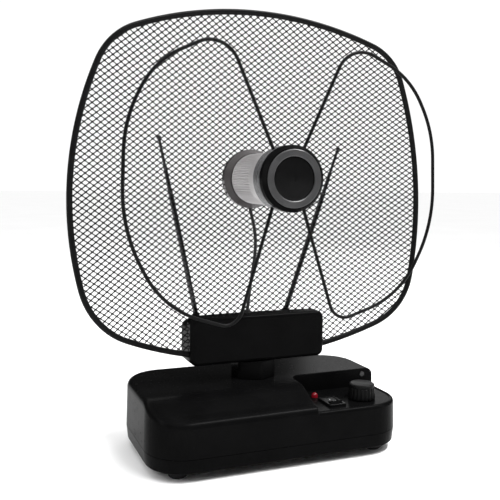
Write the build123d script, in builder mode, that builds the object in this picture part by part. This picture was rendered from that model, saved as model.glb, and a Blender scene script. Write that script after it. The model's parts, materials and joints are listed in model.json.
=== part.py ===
from build123d import *
import math
import os

# Powered indoor television aerial: weighted base with controls, a head that swivels on a six-sided neck,
# two telescopic rods, a dished wire-mesh reflector and a pair of wire loops on a ribbed hub.
# Millimetres, +Z up, front towards -Y, origin on the table under the middle of the aerial.

# ---- driving dimensions -------------------------------------------------------------------------------
BASE_W = 203.5
BASE_D = 115.0
BASE_X = 2.5
BASE_Y = 0.0
BASE_CORNER_R = 30.0
BASE_DRAFT = 1.2
FOOT_H = 6.5
SEAM_Z = 17.0
BASE_TOP_Z = 53.5
WALL = 2.5
TOP_EDGE_R = 6.0
DECK_EDGE_R = 3.0
SLOPE_START = (-28.0, BASE_TOP_Z)
SLOPE_END = (-45.0, 45.3)
SLOPE_FRONT = (-66.0, 40.2)
SLOPE_RADII = (32.0, 32.0)

DECK_Z = 38.8
DECK_RIM_H = 0.8
DECK_RIM_W = 2.2
BAY_X = 26.2
BAY_Y = -3.5
BAY_CORNER_R = 9.0

HEAD_Y = 10.0
NECK_R = 18.3
NECK_JOURNAL_R = 12.0
NECK_BORE_R = 5.0
RUN_GAP = 0.06
HOUSING_W = 114.0
HOUSING_D = 28.0
HOUSING_Z = (67.5, 105.0)
REAR_TOP_Z = 100.5
HOUSING_CORNER_R = 6.0
HOUSING_EDGE_R = 3.0

DISH_R = 495.0
DISH_APEX = (0.0, 22.4, 207.2)
HUB_Z = 212.2
RIM_W = 4.4
RIM_T = 3.6
MESH_T = 0.8
REFLECTOR_BOTTOM_Z = 73.0

HUB_R = 20.0
HUB_RING_R = 24.0
HUB_FRONT_Y = -65.5
LOOP_Y = -54.2
LOOP_LEAN = 0.05
LOOP_WIRE_R = 1.25

ROD_Y = 37.0
ROD_PIVOT_X = 38.4
ROD_PIVOT_Z = 92.5
ROD_TILT = {"left": -12.4, "right": 19.3}
ROD_BASE_END = 114.0
ROD_SHOWN = 20.0
ROD_RADII = ((2.1, 1.7), (1.65, 1.25), (1.2, 0.0))

os.makedirs("parts", exist_ok=True)


def save(builder, name):
    """Label the finished piece and write its STEP."""
    builder.part.label = name
    export_step(builder.part, f"parts/{name}.step")


# ---- base ---------------------------------------------------------------------------------------------
BASE_BACK_Y = BASE_Y + BASE_D / 2
BASE_FRONT_Y = BASE_Y - BASE_D / 2
SWITCH_AT = (47.5, -37.0)
KNOB_AT = (75.0, -35.0)
LAMP_AT = (41.5, -19.0)
BAY_SCREW_AT = (93.5, 49.0)
SOCKET_AT = (30.0, 30.0)
INLET_AT = (-30.0, 27.5)
SCREWS_AT = [(-64.0, -45.0), (62.0, -49.0), (-64.0, 47.0), (68.0, 47.0)]
FEET_AT = [(BASE_X + x, BASE_Y + y) for x in (-80.0, 80.0) for y in (-40.0, 40.0)]
BOARD_AT = (0.0, 14.0)
BOARD_SIZE = (104.0, 60.0)
BOARD_Z = 20.0
BOARD_T = 1.6
POSTS_AT = [(x, BOARD_AT[1] + y) for x in (-47.0, 47.0) for y in (-25.0, 25.0)]
NECK_PAD_R = 20.3
STOP_PEG_R = 1.2
STOP_PEG_AT = 16.3


def base_body(inset, bottom_z):
    """The base's outer form, pulled in by inset on every side and on top."""
    with BuildPart() as body:
        with BuildSketch(Plane.XY.offset(bottom_z)):
            with Locations((BASE_X, BASE_Y)):
                RectangleRounded(BASE_W - 2 * inset, BASE_D - 2 * inset, BASE_CORNER_R - inset)
        extrude(amount=BASE_TOP_Z - bottom_z, taper=BASE_DRAFT)
        with BuildSketch(Plane.YZ):
            with BuildLine():
                top = FilletPolyline(
                    (BASE_BACK_Y + WALL, BASE_TOP_Z - inset),
                    (SLOPE_START[0] + BASE_Y, SLOPE_START[1] - inset),
                    (SLOPE_END[0] + BASE_Y, SLOPE_END[1] - inset),
                    (SLOPE_FRONT[0] + BASE_Y, SLOPE_FRONT[1] - inset),
                    radius=SLOPE_RADII,
                )
                Polyline(top @ 1, ((top @ 1).X, 0), ((top @ 0).X, 0), top @ 0)
            make_face()
        extrude(amount=BASE_W, both=True, mode=Mode.INTERSECT)
    return body.part


def bay_sketch(grow, z):
    """Plan of the stepped control bay at the right front corner, on the plane at height z."""
    with BuildSketch(Plane.XY.offset(z)) as bay:
        with Locations((BAY_X - grow, BAY_Y + grow)):
            Rectangle(BASE_W, BASE_D, align=(Align.MIN, Align.MAX))
        corner = bay.vertices().sort_by(Axis.X)[:2].sort_by(Axis.Y)[-1]
        fillet(corner, BAY_CORNER_R + grow)
    return bay.sketch


front_y = BASE_FRONT_Y + BASE_CORNER_R / 4
back_y = BASE_BACK_Y - BASE_CORNER_R / 4
RIM_Z = DECK_Z + DECK_RIM_H

with BuildPart() as tall_part:
    add(base_body(0, SEAM_Z + 0.3))
    top_rim = tall_part.edges().filter_by(
        lambda e: e.center().Z > DECK_Z - 1
        and (abs(e.center().X - BASE_X) > BASE_W / 2 - BASE_CORNER_R or not front_y < e.center().Y < back_y)
    )
    fillet(top_rim, TOP_EDGE_R)
    extrude(bay_sketch(0, DECK_Z - 3), amount=BASE_TOP_Z, mode=Mode.SUBTRACT)
    bay_top = tall_part.edges().filter_by(
        lambda e: e.bounding_box().min.Z > RIM_Z - 1 and e.center().Y < BAY_Y + 0.1 and e.length > 3
        and BAY_X - 0.1 < e.bounding_box().min.X and e.bounding_box().max.X < BASE_X + BASE_W / 2 + 1
        and e.center().Z < BASE_TOP_Z + 0.1 and not e.bounding_box().min.X > BASE_X + BASE_W / 2 - 6
    )
    fillet(bay_top, 0.8)

with BuildPart() as deck_part:
    with BuildSketch(Plane.XY.offset(SEAM_Z + 0.3)):
        with Locations((BASE_X, BASE_Y)):
            RectangleRounded(BASE_W, BASE_D, BASE_CORNER_R)
    extrude(amount=RIM_Z - SEAM_Z - 0.3, taper=BASE_DRAFT)
    fillet(deck_part.faces().sort_by(Axis.Z)[-1].edges(), DECK_EDGE_R)
    extrude(bay_sketch(0.5, 0), amount=BASE_TOP_Z, mode=Mode.INTERSECT)

hollow = base_body(WALL, SEAM_Z) - extrude(bay_sketch(WALL, DECK_Z - WALL), BASE_TOP_Z)

with BuildPart() as base_shell:
    add(tall_part.part)
    add(deck_part.part)
    with BuildSketch(Plane.XY.offset(DECK_Z)) as deck_floor:
        with Locations((BASE_X, BASE_Y)):
            RectangleRounded(
                BASE_W - 2 * DECK_RIM_W - 2, BASE_D - 2 * DECK_RIM_W - 2, BASE_CORNER_R - DECK_RIM_W
            )
        add(bay_sketch(0, 0), mode=Mode.INTERSECT)
    extrude(deck_floor.sketch, amount=DECK_RIM_H + 0.1, mode=Mode.SUBTRACT)
    with Locations((0, HEAD_Y, BASE_TOP_Z)):
        Cylinder(NECK_PAD_R, 8, align=(Align.CENTER, Align.CENTER, Align.MAX))
    add(hollow, mode=Mode.SUBTRACT)
    with Locations((0, HEAD_Y, BASE_TOP_Z - WALL)):
        Cylinder(NECK_PAD_R - WALL, 12, align=(Align.CENTER, Align.CENTER, Align.MAX), mode=Mode.SUBTRACT)
    with Locations(*[(x, y, SEAM_Z + 0.2) for x, y in SCREWS_AT[2:]]):
        Cylinder(3.8, BASE_TOP_Z - 1.5 - SEAM_Z, align=(Align.CENTER, Align.CENTER, Align.MIN))
    with Locations(*[(x, y, SEAM_Z + 0.2) for x, y in SCREWS_AT[:2]]):
        Cylinder(3.8, DECK_Z - 1 - SEAM_Z, align=(Align.CENTER, Align.CENTER, Align.MIN))
    with Locations((SCREWS_AT[0][0], SCREWS_AT[0][1], DECK_Z - 2)):
        Cylinder(3.8, 7.2, align=(Align.CENTER, Align.CENTER, Align.MIN))
    with Locations((0, HEAD_Y - STOP_PEG_AT, BASE_TOP_Z - WALL - 3.4)):
        Cylinder(STOP_PEG_R, 5, align=(Align.CENTER, Align.CENTER, Align.MIN))
    with Locations(*[(x, y, SEAM_Z) for x, y in SCREWS_AT]):
        Cylinder(1.45, 14, align=(Align.CENTER, Align.CENTER, Align.MIN), mode=Mode.SUBTRACT)
    with Locations((0, HEAD_Y, BASE_TOP_Z)):
        Cylinder(NECK_JOURNAL_R + RUN_GAP, 3 * WALL, mode=Mode.SUBTRACT)
    with Locations((SWITCH_AT[0], SWITCH_AT[1], DECK_Z)):
        Box(13.0, 18.4, 3 * WALL, mode=Mode.SUBTRACT)
    with Locations((KNOB_AT[0], KNOB_AT[1], DECK_Z)):
        Cylinder(3.6, 3 * WALL, mode=Mode.SUBTRACT)
    with Locations((LAMP_AT[0], LAMP_AT[1], DECK_Z)):
        Cylinder(2.55, 3 * WALL, mode=Mode.SUBTRACT)
    with Locations((BAY_SCREW_AT[0], BAY_Y, BAY_SCREW_AT[1])):
        Cylinder(1.4, 4 * WALL, rotation=(90, 0, 0), mode=Mode.SUBTRACT)
    with Locations((SOCKET_AT[0], BASE_BACK_Y, SOCKET_AT[1])):
        Cylinder(4.9, 3 * WALL, rotation=(90, 0, 0), mode=Mode.SUBTRACT)
    with Locations((INLET_AT[0], BASE_BACK_Y, INLET_AT[1])):
        Box(9.8, 3 * WALL, 11.4, mode=Mode.SUBTRACT)
save(base_shell, "base_shell")

# Tray under the shell: tapered skirt, locating lip, board posts with heat-staked pins, screw sleeves.
SKIRT_IN = 1.2
LIP_IN = 4.0
with BuildPart() as bottom_cover:
    with BuildSketch(Plane.XY.offset(FOOT_H)):
        with Locations((BASE_X, BASE_Y)):
            RectangleRounded(BASE_W - 2 * SKIRT_IN, BASE_D - 2 * SKIRT_IN, BASE_CORNER_R - SKIRT_IN)
    with BuildSketch(Plane.XY.offset(SEAM_Z)):
        with Locations((BASE_X, BASE_Y)):
            RectangleRounded(BASE_W, BASE_D, BASE_CORNER_R)
    loft()
    chamfer(bottom_cover.faces().sort_by(Axis.Z)[0].edges(), 0.8)
    with BuildSketch(Plane.XY.offset(SEAM_Z)):
        with Locations((BASE_X, BASE_Y)):
            RectangleRounded(BASE_W - 2 * WALL - 0.6, BASE_D - 2 * WALL - 0.6, BASE_CORNER_R - WALL - 0.3)
    extrude(amount=3)
    with BuildSketch(Plane.XY.offset(FOOT_H + WALL)):
        with Locations((BASE_X, BASE_Y)):
            RectangleRounded(BASE_W - 2 * LIP_IN, BASE_D - 2 * LIP_IN, BASE_CORNER_R - LIP_IN)
    extrude(amount=BASE_TOP_Z, mode=Mode.SUBTRACT)
    with Locations(*[(x, y, FOOT_H) for x, y in SCREWS_AT]):
        Cylinder(4.2, SEAM_Z - FOOT_H, align=(Align.CENTER, Align.CENTER, Align.MIN))
    with Locations(*[(x, y, FOOT_H) for x, y in POSTS_AT]):
        Cylinder(3.2, BOARD_Z - FOOT_H, align=(Align.CENTER, Align.CENTER, Align.MIN))
        Cylinder(1.4, BOARD_Z + BOARD_T + 1 - FOOT_H, align=(Align.CENTER, Align.CENTER, Align.MIN))
    with Locations(*[(x, y, FOOT_H) for x, y in SCREWS_AT]):
        Cylinder(1.6, 2 * SEAM_Z, align=(Align.CENTER, Align.CENTER, Align.MIN), mode=Mode.SUBTRACT)
        Cylinder(3.2, 3, align=(Align.CENTER, Align.CENTER, Align.MIN), mode=Mode.SUBTRACT)
    with Locations(*[(x, y, FOOT_H) for x, y in FEET_AT]):
        Cylinder(2.6, 3 * WALL, mode=Mode.SUBTRACT)
save(bottom_cover, "bottom_cover")

# Rubber feet pushed into the tray from below.
FOOT_R = 6.65
with BuildPart() as feet:
    for x, y in FEET_AT:
        with BuildSketch(Plane.XZ.offset(-y)):
            with BuildLine():
                Polyline(
                    (x, 0), (x + FOOT_R - 1.4, 0), (x + FOOT_R, 1.2), (x + FOOT_R, FOOT_H - 0.02),
                    (x + 2.5, FOOT_H - 0.02), (x + 2.5, FOOT_H + WALL + 0.1), (x + 3.3, FOOT_H + WALL + 0.1),
                    (x + 2.0, FOOT_H + WALL + 2), (x, FOOT_H + WALL + 2), close=True,
                )
            make_face()
        revolve(axis=Axis((x, y, 0), (0, 0, 1)))
save(feet, "feet")

with BuildPart() as cover_screws:
    with Locations(*[(x, y, FOOT_H + 3) for x, y in SCREWS_AT]):
        Cylinder(2.8, 2.2, align=(Align.CENTER, Align.CENTER, Align.MAX))
        Cylinder(1.4, 16, align=(Align.CENTER, Align.CENTER, Align.MIN))
    with Locations(*[(x, y, FOOT_H + 0.8) for x, y in SCREWS_AT]):
        Box(0.7, 3.4, 2, mode=Mode.SUBTRACT)
        Box(3.4, 0.7, 2, mode=Mode.SUBTRACT)
save(cover_screws, "cover_screws")

# Amplifier board with its soldered parts.
BOARD_TOP = BOARD_Z + BOARD_T
ON_BOARD = (Align.CENTER, Align.CENTER, Align.MIN)
with BuildPart() as amplifier_board:
    with Locations((BOARD_AT[0], BOARD_AT[1], BOARD_Z)):
        Box(BOARD_SIZE[0], BOARD_SIZE[1], BOARD_T, align=ON_BOARD)
    with Locations(*[(x, y, BOARD_Z) for x, y in POSTS_AT]):
        Cylinder(1.5, 3 * BOARD_T, mode=Mode.SUBTRACT)
    with Locations((-38, 6, BOARD_TOP), (-38, 20, BOARD_TOP)):
        Cylinder(4.0, 11, align=ON_BOARD)
    with Locations((-24, 0, BOARD_TOP), (-24, 16, BOARD_TOP), (36, 0, BOARD_TOP)):
        Box(9, 6, 2.4, align=ON_BOARD)
    with Locations((-10, -8, BOARD_TOP), (0, -8, BOARD_TOP), (10, -8, BOARD_TOP)):
        Box(3.2, 1.6, 1.0, align=ON_BOARD)
save(amplifier_board, "amplifier_board")

SHIELD_AT = (6.0, 14.0)
with BuildPart() as shield_can:
    with Locations((SHIELD_AT[0], SHIELD_AT[1], BOARD_TOP + 0.02)):
        Box(36, 26, 9, align=ON_BOARD)
    with Locations((SHIELD_AT[0], SHIELD_AT[1], BOARD_TOP)):
        Box(35, 25, 8.5, align=ON_BOARD, mode=Mode.SUBTRACT)
save(shield_can, "shield_can")

# Coaxial output: block on the board, threaded barrel through the back wall, and its nut.
SOCKET_R = 4.76
SOCKET_ROOT_R = 4.6
SOCKET_INNER_Y = BASE_BACK_Y - WALL - 0.6
NUT_Y = BASE_BACK_Y + 0.1
NUT_T = 2.6
with BuildPart() as output_socket:
    with Locations((SOCKET_AT[0], SOCKET_INNER_Y - 5, BOARD_TOP + 0.05)):
        Box(14, 10, 15, align=ON_BOARD)
    with Locations((SOCKET_AT[0], SOCKET_INNER_Y, SOCKET_AT[1])):
        Cylinder(
            SOCKET_ROOT_R, -HUB_FRONT_Y - SOCKET_INNER_Y, rotation=(-90, 0, 0),
            align=(Align.CENTER, Align.CENTER, Align.MIN),
        )
    with Locations((SOCKET_AT[0], -HUB_FRONT_Y, SOCKET_AT[1])):
        Cylinder(
            SOCKET_R, -HUB_FRONT_Y - NUT_Y - NUT_T - 0.3, rotation=(90, 0, 0),
            align=(Align.CENTER, Align.CENTER, Align.MIN),
        )
        Cylinder(3.4, 2, rotation=(90, 0, 0), mode=Mode.SUBTRACT)
        Cylinder(0.5, 16, rotation=(90, 0, 0), mode=Mode.SUBTRACT)
save(output_socket, "output_socket")

with BuildPart() as output_nut:
    with BuildSketch(Plane.XZ.offset(-NUT_Y)):
        with Locations(SOCKET_AT):
            RegularPolygon(6.3, 6)
            Circle(SOCKET_ROOT_R + 0.05, mode=Mode.SUBTRACT)
    extrude(amount=-NUT_T)
save(output_nut, "output_nut")

# Power inlet: square housing with a round well and a centre pin.
INLET_BORE_R = 2.8
INLET_DEPTH = 9.0
INLET_FACE_Y = BASE_BACK_Y - 0.2
with BuildPart() as dc_inlet:
    with Locations((INLET_AT[0], INLET_FACE_Y, INLET_AT[1])):
        Box(9.4, 13.0, 11.0, align=(Align.CENTER, Align.MAX, Align.CENTER))
        Cylinder(INLET_BORE_R, 2 * INLET_DEPTH, rotation=(90, 0, 0), mode=Mode.SUBTRACT)
    with Locations((INLET_AT[0], INLET_FACE_Y - INLET_DEPTH, INLET_AT[1])):
        Cylinder(
            1.0, INLET_DEPTH - 1, rotation=(-90, 0, 0), align=(Align.CENTER, Align.CENTER, Align.MIN)
        )
save(dc_inlet, "dc_inlet")

with BuildPart() as power_lamp:
    with BuildSketch(Plane.XZ.offset(-LAMP_AT[1])):
        with BuildLine():
            lamp_side = Polyline(
                (LAMP_AT[0], DECK_Z - 5), (LAMP_AT[0] + 2.9, DECK_Z - 5),
                (LAMP_AT[0] + 2.9, DECK_Z - 3.6), (LAMP_AT[0] + 2.5, DECK_Z - 3.6),
                (LAMP_AT[0] + 2.5, DECK_Z + 1.2),
            )
            lamp_dome = RadiusArc(lamp_side @ 1, (LAMP_AT[0], DECK_Z + 3.7), -2.5)
            Line(lamp_dome @ 1, lamp_side @ 0)
        make_face()
    revolve(axis=Axis((LAMP_AT[0], LAMP_AT[1], 0), (0, 0, 1)))
save(power_lamp, "power_lamp")

# Rocker switch: flanged housing with a well, and the paddle on two stub pins along X.
ROCKER_PIVOT_Z = 37.0
ROCKER_TILT = 8.0
BEZEL_TOP_Z = DECK_Z + 1.7
WELL_W = 10.4
ROCKER_PIN_R = 1.0
with BuildPart() as switch_housing:
    with BuildSketch(Plane.XY.offset(DECK_Z + 0.02)):
        with Locations(SWITCH_AT):
            RectangleRounded(14.5, 20.5, 1.2)
    extrude(amount=2.0)
    fillet(switch_housing.faces().sort_by(Axis.Z)[-1].edges(), 0.7)
    with Locations((SWITCH_AT[0], SWITCH_AT[1], DECK_Z + 0.1)):
        Box(12.8, 18.2, 14, align=(Align.CENTER, Align.CENTER, Align.MAX))
    with Locations((SWITCH_AT[0], SWITCH_AT[1], BEZEL_TOP_Z + 1)):
        Box(WELL_W, 17.2, 9.5, align=(Align.CENTER, Align.CENTER, Align.MAX), mode=Mode.SUBTRACT)
    with Locations((SWITCH_AT[0], SWITCH_AT[1], ROCKER_PIVOT_Z)):
        Cylinder(ROCKER_PIN_R + RUN_GAP, WELL_W + 1.6, rotation=(0, 90, 0), mode=Mode.SUBTRACT)
    with Locations(*[(SWITCH_AT[0], SWITCH_AT[1] + y, DECK_Z - 14) for y in (-5, 5)]):
        Box(0.8, 4.6, 14, mode=Mode.ADD)
save(switch_housing, "switch_housing")

paddle_plane = Plane(
    origin=(SWITCH_AT[0], SWITCH_AT[1], ROCKER_PIVOT_Z), x_dir=(0, 1, 0), z_dir=(1, 0, 0)
).rotated((-ROCKER_TILT, 0, 0))
with BuildPart() as power_rocker:
    with BuildSketch(paddle_plane):
        with BuildLine():
            Polyline(
                (-7.6, 4.6), (0, 3.2), (7.6, 4.6), (8.2, 0.5), (5.6, -2.6), (-5.6, -2.6), (-8.2, 0.5),
                close=True,
            )
        make_face()
    extrude(amount=WELL_W / 2 - 0.4, both=True)
    with BuildSketch(paddle_plane):
        Circle(ROCKER_PIN_R)
    extrude(amount=WELL_W / 2 + 0.7, both=True)
save(power_rocker, "power_rocker")

# Level control: potentiometer under the deck, its nut under the knob, the shaft and the fluted knob.
POT_SHAFT_R = 3.0
KNOB_R = 10.7
KNOB_TOP_R = 10.0
KNOB_Z = (DECK_Z + 0.4, 51.5)
with BuildPart() as gain_potentiometer:
    with Locations((KNOB_AT[0], KNOB_AT[1], DECK_Z - WALL - 0.05)):
        Cylinder(8.2, 7.5, align=(Align.CENTER, Align.CENTER, Align.MAX))
        Cylinder(3.5, 6.3, align=(Align.CENTER, Align.CENTER, Align.MIN))
        Box(13, 6, 7, align=(Align.CENTER, Align.MIN, Align.MAX))
        Cylinder(POT_SHAFT_R + RUN_GAP, 4, align=(Align.CENTER, Align.CENTER, Align.MAX), mode=Mode.SUBTRACT)
        Cylinder(POT_SHAFT_R + RUN_GAP, 8, align=(Align.CENTER, Align.CENTER, Align.MIN), mode=Mode.SUBTRACT)
save(gain_potentiometer, "gain_potentiometer")

with BuildPart() as potentiometer_nut:
    with BuildSketch(Plane.XY.offset(DECK_Z + 0.05)):
        with Locations(KNOB_AT):
            RegularPolygon(5.6, 6)
            Circle(3.55, mode=Mode.SUBTRACT)
    extrude(amount=2.2)
save(potentiometer_nut, "potentiometer_nut")

with BuildPart() as potentiometer_shaft:
    with Locations((KNOB_AT[0], KNOB_AT[1], DECK_Z - WALL - 3.5)):
        Cylinder(POT_SHAFT_R, 14.8, align=(Align.CENTER, Align.CENTER, Align.MIN))
save(potentiometer_shaft, "potentiometer_shaft")

FLUTES = 20
with BuildPart() as gain_knob:
    with Locations((KNOB_AT[0], KNOB_AT[1], KNOB_Z[0])):
        Cone(KNOB_R, KNOB_TOP_R, KNOB_Z[1] - KNOB_Z[0], align=(Align.CENTER, Align.CENTER, Align.MIN))
    chamfer(gain_knob.faces().sort_by(Axis.Z)[-1].edges(), 0.8)
    with Locations((KNOB_AT[0], KNOB_AT[1], KNOB_Z[0])):
        with PolarLocations(KNOB_R + 0.15, FLUTES):
            Cylinder(0.85, 2 * 9.8, mode=Mode.SUBTRACT)
    with Locations((KNOB_AT[0], KNOB_AT[1], KNOB_Z[0])):
        Cylinder(7.4, 2 * 5.2, mode=Mode.SUBTRACT)
        Cylinder(POT_SHAFT_R + 0.05, 2 * 8.6, mode=Mode.SUBTRACT)
save(gain_knob, "gain_knob")

# Small blanked screw in the bay's back wall.
with BuildPart() as bay_screw:
    with Locations((BAY_SCREW_AT[0], BAY_Y - 0.02, BAY_SCREW_AT[1])):
        Cylinder(2.1, 0.7, rotation=(90, 0, 0), align=(Align.CENTER, Align.CENTER, Align.MIN))
        Cylinder(1.3, 4, rotation=(90, 0, 0), align=(Align.CENTER, Align.CENTER, Align.MAX))
save(bay_screw, "bay_screw")

# ---- neck ---------------------------------------------------------------------------------------------
NECK_TOP_Z = HOUSING_Z[0] - 0.05
FLOOR_HOLE_R = 9.1
with BuildPart() as neck_post:
    with BuildSketch(Plane.XY.offset(BASE_TOP_Z + 0.1)):
        with Locations((0, HEAD_Y)):
            RegularPolygon(NECK_R, 6, rotation=30)
    extrude(amount=NECK_TOP_Z - BASE_TOP_Z - 0.1)
    fillet(neck_post.edges().filter_by(Axis.Z), 3.5)
    fillet(neck_post.faces().sort_by(Axis.Z)[0].edges(), 0.6)
    with Locations((0, HEAD_Y, BASE_TOP_Z + 1)):
        Cylinder(NECK_JOURNAL_R, 3.7, align=(Align.CENTER, Align.CENTER, Align.MAX))
    with Locations((0, HEAD_Y, NECK_TOP_Z - 1)):
        Cylinder(FLOOR_HOLE_R - 0.1, WALL + 1.3, align=(Align.CENTER, Align.CENTER, Align.MIN))
    with Locations((0, HEAD_Y, HOUSING_Z[0] + WALL + 0.05)):
        Cylinder(11.2, 2.2, align=(Align.CENTER, Align.CENTER, Align.MIN))
    with Locations((0, HEAD_Y, BASE_TOP_Z)):
        Cylinder(NECK_BORE_R, 4 * NECK_R, mode=Mode.SUBTRACT)
        with PolarLocations(8.5, 3, 30):
            Cylinder(1.25, 9, mode=Mode.SUBTRACT)
save(neck_post, "neck_post")

NECK_FOOT_Z = BASE_TOP_Z - 2.75
with BuildPart() as neck_retainer:
    with Locations((0, HEAD_Y, NECK_FOOT_Z)):
        Cylinder(14.2, 2.6, align=(Align.CENTER, Align.CENTER, Align.MAX))
    with Locations((0, HEAD_Y, NECK_FOOT_Z)):
        Box(5, 17.6, 2.6, align=(Align.CENTER, Align.MIN, Align.MAX))
        Cylinder(NECK_BORE_R, 8, mode=Mode.SUBTRACT)
        with PolarLocations(8.5, 3, 30):
            Cylinder(1.5, 8, mode=Mode.SUBTRACT)
save(neck_retainer, "neck_retainer")

with BuildPart() as retainer_screws:
    with Locations((0, HEAD_Y, NECK_FOOT_Z - 2.62)):
        with PolarLocations(8.5, 3, 30):
            Cylinder(2.4, 1.8, align=(Align.CENTER, Align.CENTER, Align.MAX))
            Cylinder(1.2, 9.0, align=(Align.CENTER, Align.CENTER, Align.MIN))
save(retainer_screws, "retainer_screws")

# ---- cross housing ------------------------------------------------------------------------------------
DISH_CENTRE = (DISH_APEX[0], DISH_APEX[1] - DISH_R, DISH_APEX[2])
HOUSING_BACK_Y = HEAD_Y + HOUSING_D / 2
HOUSING_SCREWS = [(-49.5, 84.0), (49.5, 84.0), (-20.0, 93.0), (20.0, 93.0)]
DISH_GAP = 0.55


def outline(inset):
    """Face of the reflector's outline, pulled in by inset: four shallow arcs with rounded corners."""
    with BuildSketch(Plane.XZ) as face:
        with Locations((0, HUB_Z - 144.3)):
            Circle(276 - inset)
        with Locations((0, HUB_Z + 136.3)):
            Circle(280 - inset, mode=Mode.INTERSECT)
        with Locations((-123.1, HUB_Z - 18)):
            Circle(272 - inset, mode=Mode.INTERSECT)
        with Locations((123.1, HUB_Z - 18)):
            Circle(272 - inset, mode=Mode.INTERSECT)
        corners = face.vertices().group_by(Axis.Y)
        fillet(corners[-1], 50 - inset)
        fillet(face.vertices().group_by(Axis.Y)[0], 58 - inset)
    return face.sketch


def rim_solid(grow, bottom_z):
    """The reflector's edge band, grown by grow all round, ending at bottom_z inside the housing."""
    with BuildPart() as rim:
        extrude(outline(-grow) - outline(RIM_W + grow), amount=100, both=True)
        with Locations(DISH_CENTRE):
            Sphere(DISH_R + RIM_T / 2 + grow, mode=Mode.INTERSECT)
            Sphere(DISH_R - RIM_T / 2 - grow, mode=Mode.SUBTRACT)
        with Locations((0, 0, bottom_z)):
            Box(200, 200, 100, align=(Align.CENTER, Align.CENTER, Align.MAX), mode=Mode.SUBTRACT)
    return rim.part


def housing_block(top_z):
    """Hollow rounded bar up to top_z, with bosses for four screws along Y."""
    height = top_z - HOUSING_Z[0]
    with BuildPart() as block:
        with Locations((0, HEAD_Y, HOUSING_Z[0] + height / 2)):
            Box(HOUSING_W, HOUSING_D, height)
        fillet(block.edges().filter_by(Axis.Y), HOUSING_CORNER_R)
        fillet(block.faces().filter_by(Axis.Y).edges(), HOUSING_EDGE_R)
        with Locations((0, HEAD_Y, HOUSING_Z[0] + height / 2)):
            Box(HOUSING_W - 2 * WALL, HOUSING_D - 2 * WALL, height - 2 * WALL, mode=Mode.SUBTRACT)
        with Locations(*[(x, HEAD_Y, z) for x, z in HOUSING_SCREWS]):
            Cylinder(3.6, HOUSING_D - 2, rotation=(90, 0, 0))
        with Locations((0, HEAD_Y, HOUSING_Z[0])):
            Cylinder(FLOOR_HOLE_R, 3 * WALL, mode=Mode.SUBTRACT)
    return block.part


rim_relief = rim_solid(0.35, REFLECTOR_BOTTOM_Z - 1)
GLAND_AT = (-6.4, 8.1, 104.0)

with BuildPart() as housing_front:
    add(housing_block(HOUSING_Z[1]))
    with Locations(DISH_CENTRE):
        Sphere(DISH_R - DISH_GAP, mode=Mode.INTERSECT)
    add(rim_relief, mode=Mode.SUBTRACT)
    with Locations(*[(x, 0.5, z) for x, z in HOUSING_SCREWS]):
        Cylinder(
            1.55, HOUSING_D, rotation=(-90, 0, 0), align=(Align.CENTER, Align.CENTER, Align.MIN),
            mode=Mode.SUBTRACT,
        )
    with Locations(GLAND_AT):
        Cylinder(2.1, 8, mode=Mode.SUBTRACT)
save(housing_front, "housing_front")

with BuildPart() as housing_rear:
    add(housing_block(REAR_TOP_Z))
    for x in (-ROD_PIVOT_X, ROD_PIVOT_X):
        with Locations((x, HOUSING_BACK_Y - 6, ROD_PIVOT_Z)):
            Cylinder(
                5.6, ROD_Y - 3.1 - HOUSING_BACK_Y + 6, rotation=(-90, 0, 0),
                align=(Align.CENTER, Align.CENTER, Align.MIN),
            )
            Cylinder(
                1.6, HOUSING_D, rotation=(-90, 0, 0), align=(Align.CENTER, Align.CENTER, Align.MIN),
                mode=Mode.SUBTRACT,
            )
    with Locations(DISH_CENTRE):
        Sphere(DISH_R + DISH_GAP, mode=Mode.SUBTRACT)
    add(rim_relief, mode=Mode.SUBTRACT)
    with Locations(*[(x, HOUSING_BACK_Y, z) for x, z in HOUSING_SCREWS]):
        Cylinder(3.0, 6, rotation=(90, 0, 0), mode=Mode.SUBTRACT)
        Cylinder(1.6, 2 * HOUSING_D, rotation=(90, 0, 0), mode=Mode.SUBTRACT)
save(housing_rear, "housing_rear")

with BuildPart() as housing_screws:
    with Locations(*[(x, HOUSING_BACK_Y - 2.98, z) for x, z in HOUSING_SCREWS]):
        Cylinder(2.7, 2.0, rotation=(-90, 0, 0), align=(Align.CENTER, Align.CENTER, Align.MIN))
        Cylinder(1.5, 18, rotation=(-90, 0, 0), align=(Align.CENTER, Align.CENTER, Align.MAX))
    with Locations(*[(x, HOUSING_BACK_Y - 1.0, z) for x, z in HOUSING_SCREWS]):
        Box(0.7, 2, 3.4, mode=Mode.SUBTRACT)
        Box(3.4, 2, 0.7, mode=Mode.SUBTRACT)
save(housing_screws, "housing_screws")

# Board that joins the rods' and the loops' feeds, standing in the rear half between the rod bosses.
with BuildPart() as matching_board:
    with Locations((0, 17.5, 80.0)):
        Box(56, 1.6, 14)
    with Locations((-14, 16.7, 80), (14, 16.7, 80)):
        Cylinder(3.2, 3, rotation=(90, 0, 0), align=(Align.CENTER, Align.CENTER, Align.MIN))
    with Locations((0, 16.7, 81)):
        Box(9, 2, 6, align=(Align.CENTER, Align.MAX, Align.CENTER))
save(matching_board, "matching_board")

# ---- reflector ----------------------------------------------------------------------------------------
with BuildPart() as reflector_rim:
    add(rim_solid(0, REFLECTOR_BOTTOM_Z))
save(reflector_rim, "reflector_rim")

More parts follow.
